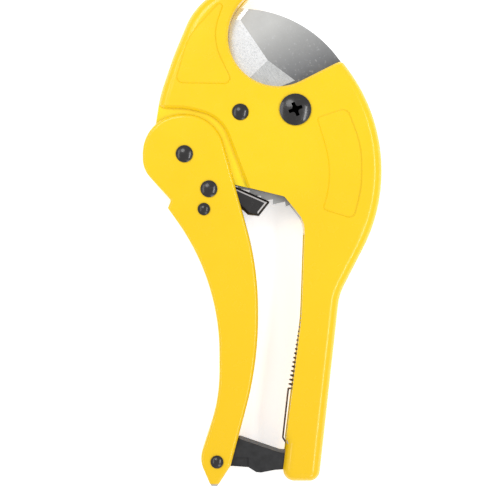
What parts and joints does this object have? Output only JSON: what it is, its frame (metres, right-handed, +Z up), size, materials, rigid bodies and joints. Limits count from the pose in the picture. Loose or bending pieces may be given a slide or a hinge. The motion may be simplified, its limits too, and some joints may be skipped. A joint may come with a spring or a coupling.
{
  "type": "ratchet pipe cutter",
  "caption": "Hand ratchet cutter for plastic pipe: hooked jaw, toothed blade, channel handle with drive pawl, holding pawl, return springs and a handle latch.",
  "frame": {"origin": "centre of the bounding box's base, on the flat back of the castings", "axes": "+Z up through the thickness towards the front, +Y along the tool towards the jaw, +X towards the fixed handle's side"},
  "size_m": [0.101, 0.212, 0.0202],
  "materials": {
    "yellow_coat": "gloss powder coat on die casting",
    "blade_steel": "satin ground blade steel",
    "bright_steel": "bright zinc plated",
    "spring_steel": "drawn spring wire",
    "black_steel": "glossy black oxide",
    "black_plastic": "moulded satin"
  },
  "bodies": {
    "root": {"body_casting": "yellow_coat", "blade_bush": "bright_steel", "blade_shims": "bright_steel", "blade_pivot_screw": "black_steel", "blade_pivot_nut": "black_steel", "blade_lock_washer": "bright_steel", "blade_stop_pin": "black_steel", "handle_pivot_rivet": "black_steel", "handle_shims": "bright_steel", "spring_anchor_pin": "bright_steel", "blade_return_spring": "spring_steel", "holding_pawl_spring": "spring_steel"},
    "grip": {"moving_handle": "yellow_coat", "drive_pawl_rivet": "black_steel", "drive_pawl_sleeve": "bright_steel", "spring_rivet": "black_steel", "handle_return_spring": "spring_steel", "drive_pawl_spring": "spring_steel", "latch_rivet": "black_steel"},
    "cutter": {"blade": "blade_steel"},
    "driver": {"drive_pawl": "black_steel"},
    "holder": {"holding_pawl": "bright_steel"},
    "catch": {"latch": "black_plastic"}
  },
  "joints": [
    {"name": "handle_swing", "type": "hinge", "parent": "root", "child": "grip", "pos_m": [-0.0328, 0.0339, 0.009], "axis": [0, 0, -1], "range_deg": [0, 38], "deforming": ["handle_return_spring"]},
    {"name": "blade_swing", "type": "hinge", "parent": "root", "child": "cutter", "pos_m": [0.0138, 0.0525, 0.009], "axis": [0, 0, -1], "range_deg": [0, 55], "deforming": ["blade_return_spring"]},
    {"name": "drive_pawl_swing", "type": "hinge", "parent": "grip", "child": "driver", "pos_m": [-0.0225, 0.0192, 0.009], "axis": [0, 0, -1], "range_deg": [-56, 1], "deforming": ["drive_pawl_spring"]},
    {"name": "holding_pawl_swing", "type": "hinge", "parent": "root", "child": "holder", "pos_m": [-0.0328, 0.0339, 0.009], "axis": [0, 0, -1], "range_deg": [-5, 0], "deforming": ["holding_pawl_spring"]},
    {"name": "latch_swing", "type": "hinge", "parent": "grip", "child": "catch", "pos_m": [-0.0191, -0.0955, 0.009], "axis": [0, 0, -1], "range_deg": [-3, 60]}
  ],
  "couplings": [
    {"joint": "drive_pawl_swing", "follows": "handle_swing", "ratio": -1.442}
  ]
}
